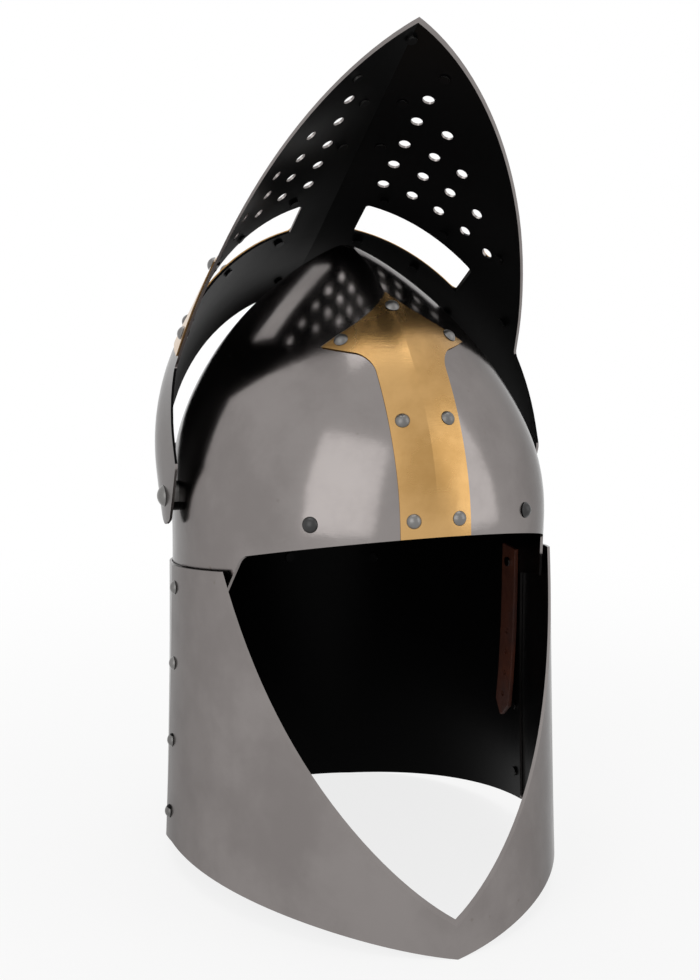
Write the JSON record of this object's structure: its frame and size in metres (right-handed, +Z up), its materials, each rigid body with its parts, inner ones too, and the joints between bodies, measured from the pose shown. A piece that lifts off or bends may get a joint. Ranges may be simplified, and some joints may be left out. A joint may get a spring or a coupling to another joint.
{
  "type": "great helm",
  "caption": "Great helm of riveted steel plates with a pivoted visor raised above the face, eye slits, breath holes and a riveted brass cross.",
  "frame": {"origin": "on the floor under the middle of the helm's box, with the visor raised", "axes": "+Z up, -Y towards the face, +X towards the wearer's left"},
  "size_m": [0.2412, 0.3258, 0.5089],
  "materials": {
    "steel": "polished and worn outside, painted black inside",
    "rivet_steel": "satin",
    "dark_rivet": "dark, burnished on the rim",
    "brass": "satin, a little tarnished",
    "leather": "waxed"
  },
  "bodies": {
    "helm": {"skull": "steel", "skull_cross_strip": "brass", "skull_cross_rivets": "rivet_steel", "face_plate": "steel", "back_plate": "steel", "side_seam_rivets_right": "rivet_steel", "side_seam_rivets_left": "rivet_steel", "nape_rivets": "rivet_steel", "pivot_rivet_right": "rivet_steel", "pivot_rivet_left": "rivet_steel", "pivot_spacer_right": "steel", "pivot_spacer_left": "steel", "pivot_washer_right": "rivet_steel", "pivot_washer_left": "rivet_steel", "liner_band": "leather", "liner_tongues": "leather", "liner_rivets": "dark_rivet", "chin_strap_right": "leather", "chin_strap_left": "leather"},
    "visor": {"visor_plate": "steel", "visor_cross": "brass", "visor_cross_rivets": "rivet_steel"}
  },
  "joints": [
    {"name": "visor_hinge", "type": "hinge", "parent": "helm", "child": "visor", "pos_m": [0, 0.03458, 0.2277], "axis": [1, 0, 0], "range_deg": [0, 116.2]}
  ]
}
